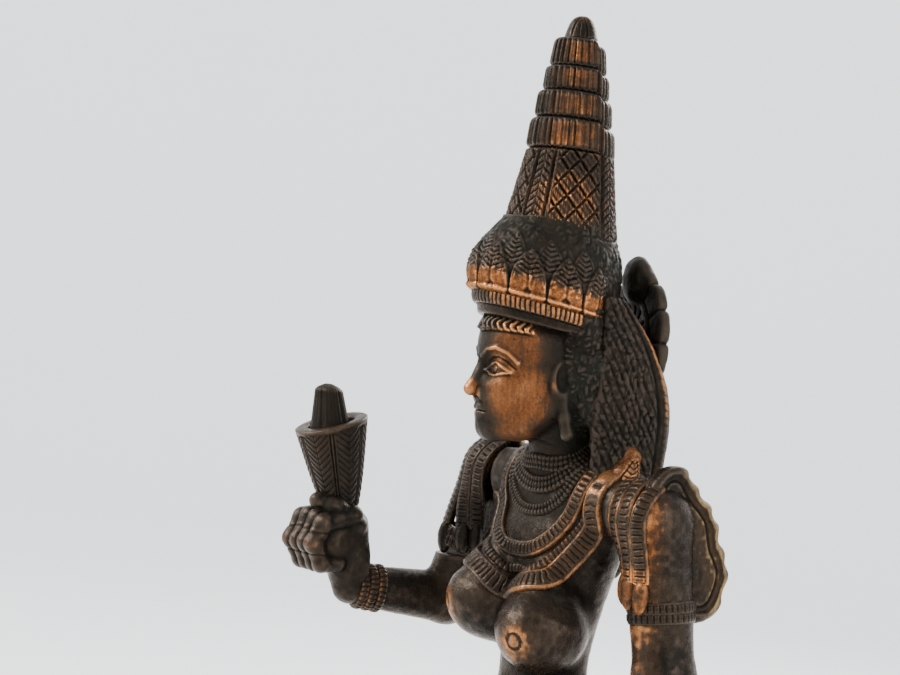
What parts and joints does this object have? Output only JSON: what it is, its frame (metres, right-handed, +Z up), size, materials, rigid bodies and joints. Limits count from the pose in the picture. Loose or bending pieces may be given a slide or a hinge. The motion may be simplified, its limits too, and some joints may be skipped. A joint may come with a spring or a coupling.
{
  "type": "cast brass figurine",
  "caption": "Standing goddess figure in cast brass with a tall tiered crown and a raised lotus bud, on a lotus pedestal and stepped plinth.",
  "frame": {"origin": "centre of the plinth's underside", "axes": "+Z up along the figure, the figure faces -Y, her left side is +X"},
  "size_m": [0.088, 0.076, 0.3051],
  "materials": {
    "dark_brass": "cast brass with a dark brown patina, rubbed to copper on the high parts",
    "worn_brass": "chased brass ornament, dark in the grooves and rubbed bright on the ridges",
    "steel": "plain zinc-plated steel"
  },
  "bodies": {
    "root": {"back_hair": "dark_brass", "base_screws": "steel", "brow_band": "worn_brass", "bud_calyx": "worn_brass", "bud_peg": "dark_brass", "bud_tip": "worn_brass", "centre_pleat": "worn_brass", "collar": "worn_brass", "crown_cap": "worn_brass", "crown_drum": "worn_brass", "crown_finial": "worn_brass", "crown_tier_1": "worn_brass", "crown_tier_2": "worn_brass", "crown_tier_3": "worn_brass", "crown_tier_4": "worn_brass", "girdle": "worn_brass", "girdle_clasp": "worn_brass", "halo": "worn_brass", "halo_peg": "dark_brass", "head": "dark_brass", "left_anklet": "worn_brass", "left_arm": "dark_brass", "left_armlet": "worn_brass", "left_bangles": "worn_brass", "left_earring": "worn_brass", "left_hand": "dark_brass", "left_hip_sash": "worn_brass", "left_shoulder_dowel": "dark_brass", "left_shoulder_lappet": "worn_brass", "left_shoulder_tassel": "worn_brass", "left_side_lock": "dark_brass", "lotus_lower": "dark_brass", "lotus_upper": "dark_brass", "lower_body": "dark_brass", "middle_necklace": "worn_brass", "neck_dowel": "dark_brass", "outer_necklace": "worn_brass", "plinth": "dark_brass", "right_anklet": "worn_brass", "right_armlet": "worn_brass", "right_bangles": "worn_brass", "right_earring": "worn_brass", "right_forearm": "dark_brass", "right_hand": "dark_brass", "right_hip_sash": "worn_brass", "right_shoulder_dowel": "dark_brass", "right_shoulder_lappet": "worn_brass", "right_shoulder_tassel": "worn_brass", "right_side_lock": "dark_brass", "right_upper_arm": "dark_brass", "tenon_nuts": "steel", "tenon_washers": "steel", "torso": "dark_brass", "waist_dowel": "dark_brass"}
  },
  "joints": []
}
